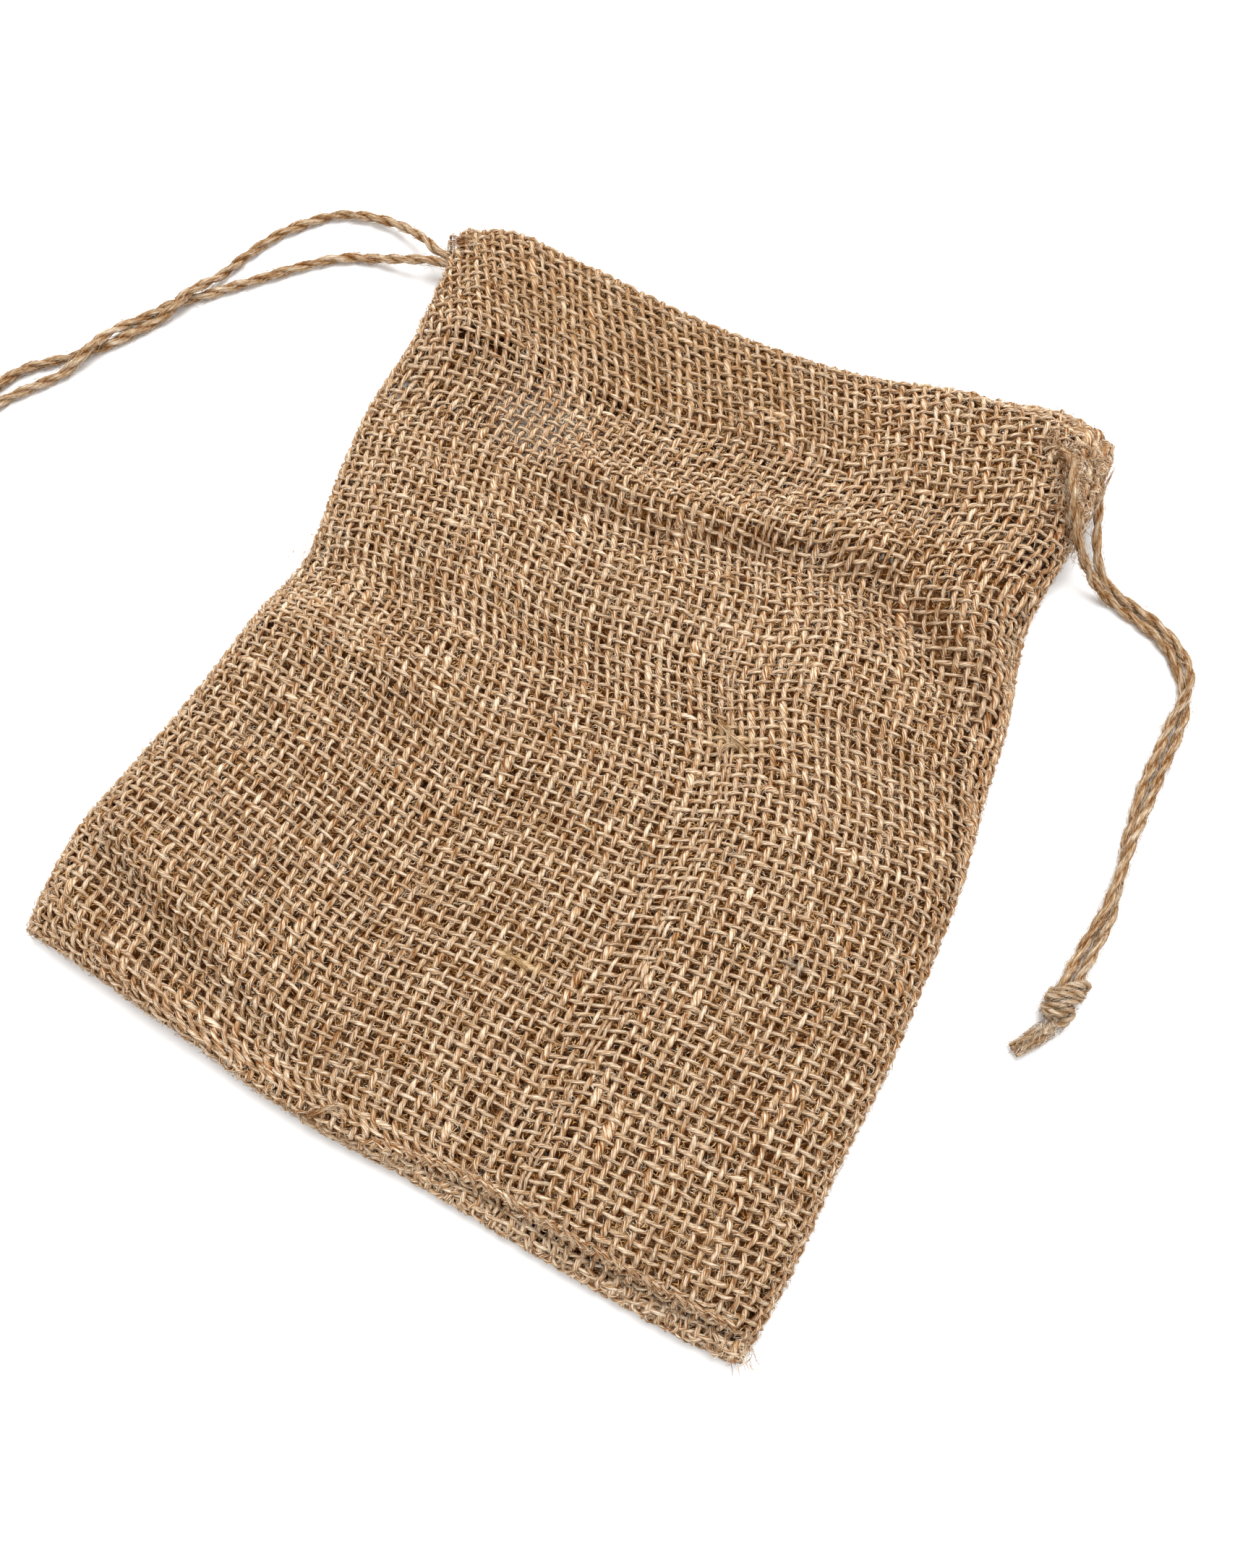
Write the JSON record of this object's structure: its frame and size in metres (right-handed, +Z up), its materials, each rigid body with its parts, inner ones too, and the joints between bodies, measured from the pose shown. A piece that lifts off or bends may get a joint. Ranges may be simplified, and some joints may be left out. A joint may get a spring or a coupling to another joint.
{
  "type": "hessian drawstring sack",
  "caption": "Small empty pouch of coarse plain-woven jute with a turned-down casing and knotted twine drawstrings out at both sides, for holding small goods.",
  "frame": {"origin": "on the surface the sack lies on, under the middle of the cloth's outline", "axes": "+X across the sack to the right, +Y from the bottom seam to the mouth, +Z up from the surface"},
  "size_m": [0.2281, 0.1661, 0.0156],
  "materials": {
    "hessian": "coarse open plain weave of undyed jute",
    "twine": "two-ply laid jute twine, hairy",
    "knot": "two-ply laid jute twine, knotted, tail frayed"
  },
  "bodies": {
    "root": {"sack": "hessian", "twine_left_upper": "twine", "twine_left_lower": "twine", "twine_right_front": "twine", "twine_right_back": "twine", "knot_left": "knot", "knot_right": "knot"}
  },
  "joints": []
}
